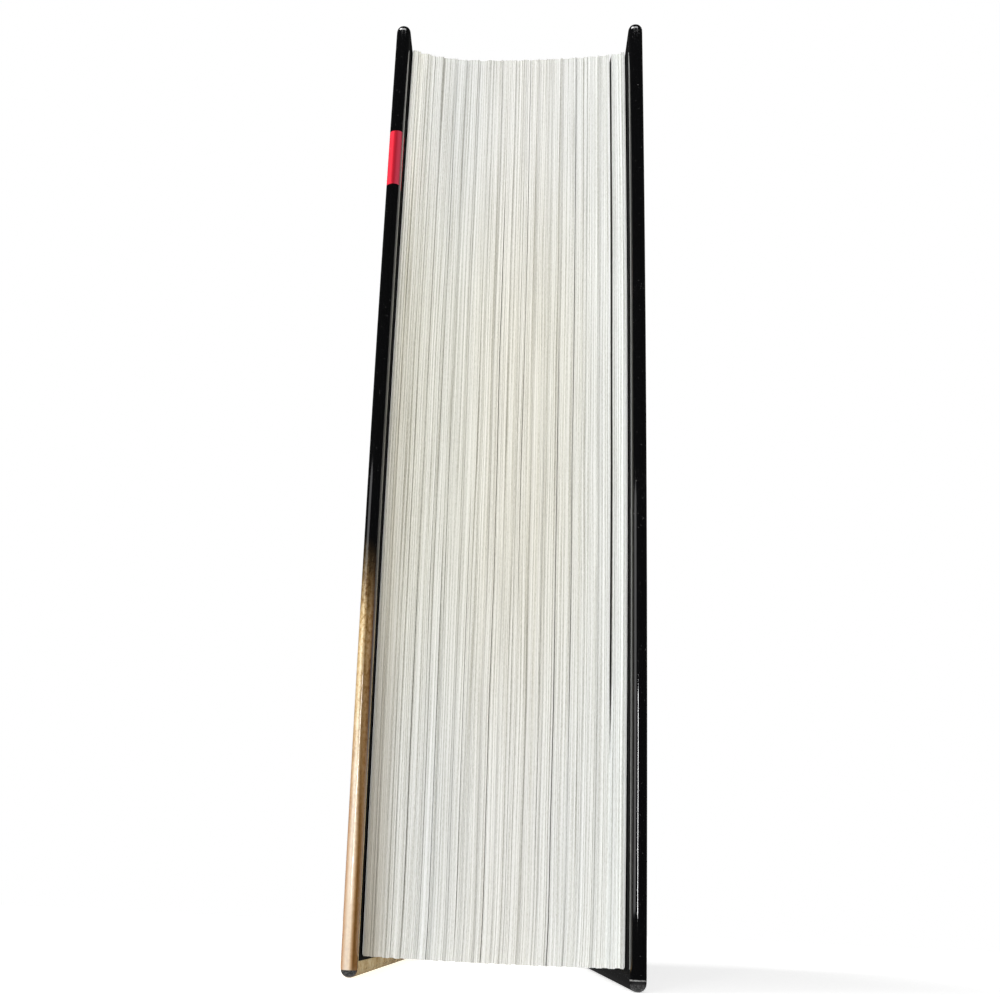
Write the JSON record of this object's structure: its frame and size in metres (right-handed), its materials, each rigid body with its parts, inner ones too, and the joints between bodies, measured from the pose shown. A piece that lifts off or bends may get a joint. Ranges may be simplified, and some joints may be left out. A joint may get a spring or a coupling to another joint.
{
  "type": "hardback book",
  "caption": "Thick closed hardback book with hinged boards, a glossy dark covering, round spine and hollow fore-edge.",
  "frame": {"origin": "middle of the standing book's footprint, on the surface that its tail edge stands on", "axes": "+Z from tail to head, -Y out of the fore-edge, +Y out of the spine, -X out of the front cover"},
  "size_m": [0.0664, 0.2014, 0.244],
  "materials": {
    "leaves": "matte",
    "endpaper": "matte",
    "cloth": "matte",
    "lining": "matte",
    "headband": "matte",
    "board": "matte",
    "covering": "gloss"
  },
  "bodies": {
    "leaves_and_spine": {"text_block": "leaves", "front_flyleaf": "endpaper", "back_flyleaf": "endpaper", "spine_cloth": "cloth", "spine_lining": "lining", "head_band": "headband", "tail_band": "headband", "spine_inlay": "board", "spine_covering": "covering", "front_joint": "covering", "back_joint": "covering"},
    "front_cover": {"front_board": "board", "front_covering": "covering", "front_cloth_flap": "cloth", "front_pastedown": "endpaper"},
    "back_cover": {"back_board": "board", "back_covering": "covering", "back_cloth_flap": "cloth", "back_pastedown": "endpaper"}
  },
  "joints": [
    {"name": "front_cover_hinge", "type": "hinge", "parent": "leaves_and_spine", "child": "front_cover", "pos_m": [-0.03195, 0.089, 0.122], "axis": [0, 0, -1], "range_deg": [0, 180], "deforming": ["front_joint"]},
    {"name": "back_cover_hinge", "type": "hinge", "parent": "leaves_and_spine", "child": "back_cover", "pos_m": [0.03195, 0.089, 0.122], "axis": [0, 0, 1], "range_deg": [0, 180], "deforming": ["back_joint"]}
  ]
}
